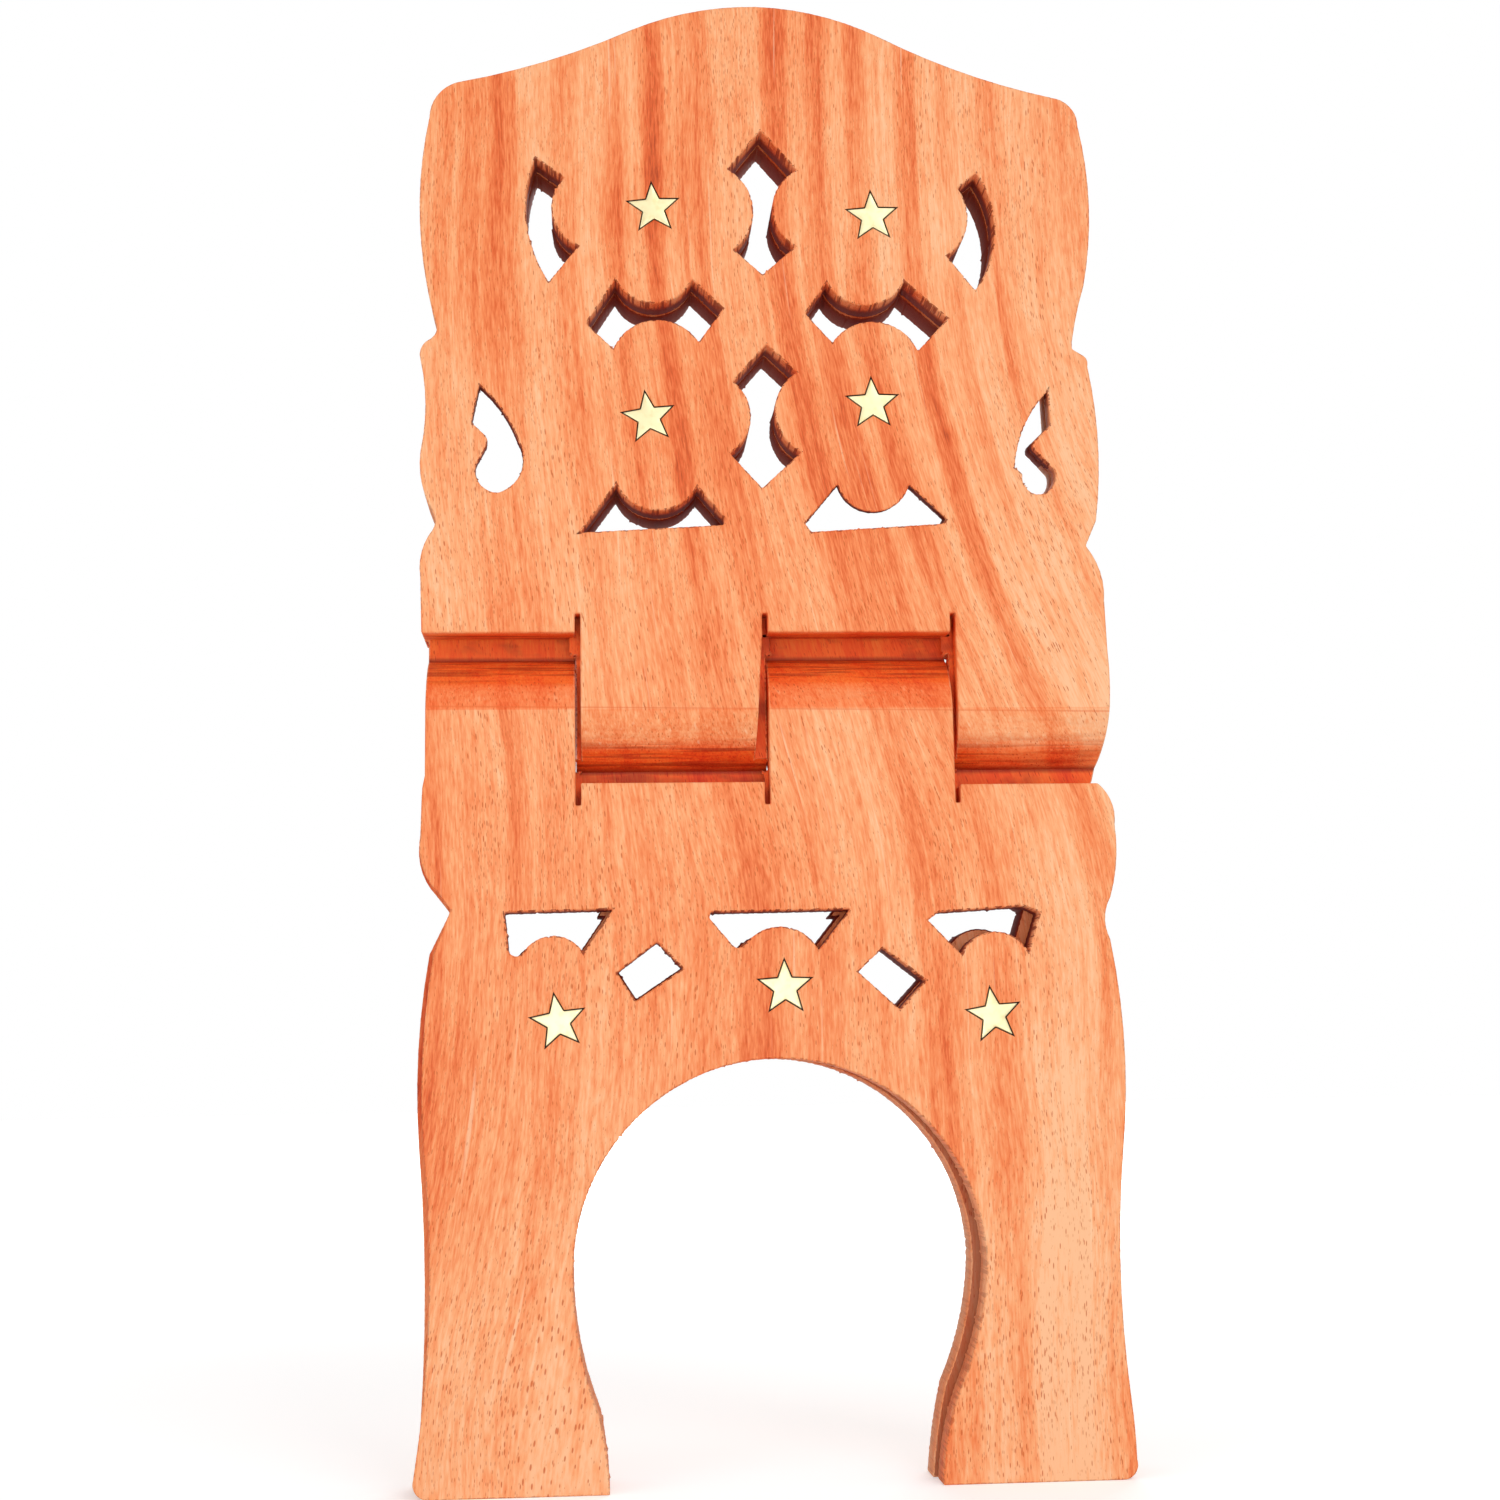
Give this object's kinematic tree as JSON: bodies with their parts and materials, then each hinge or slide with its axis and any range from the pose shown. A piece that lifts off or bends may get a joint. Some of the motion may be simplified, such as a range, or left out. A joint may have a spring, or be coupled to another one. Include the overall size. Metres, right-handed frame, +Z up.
{
  "type": "folding book stand",
  "caption": "Folding wooden book stand carved from one plank, with finger hinge, pierced scrollwork, arched legs and inlaid brass stars.",
  "frame": {"origin": "on the floor, in the middle of the box round the folded stand", "axes": "+X across the stand to the right as seen from the front, -Y out of the front face, +Z up"},
  "size_m": [0.2249, 0.0254, 0.484],
  "materials": {
    "wood": "oiled sheesham, satin",
    "brass": "filed flush, dull polish"
  },
  "bodies": {
    "rear_rest_board": {"rear_rest_board": "wood", "rear_rest_star_1": "brass", "rear_rest_star_2": "brass", "rear_rest_star_3": "brass", "rear_rest_star_4": "brass", "front_leg_star_1": "brass", "front_leg_star_2": "brass", "front_leg_star_3": "brass"},
    "front_rest_board": {"front_rest_board": "wood", "front_rest_star_1": "brass", "front_rest_star_2": "brass", "front_rest_star_3": "brass", "front_rest_star_4": "brass", "rear_leg_star_1": "brass", "rear_leg_star_2": "brass", "rear_leg_star_3": "brass"}
  },
  "joints": [
    {"name": "fold", "type": "hinge", "parent": "rear_rest_board", "child": "front_rest_board", "pos_m": [0, 0, 0.2425], "axis": [1, 0, 0], "range_deg": [0, 120]}
  ]
}
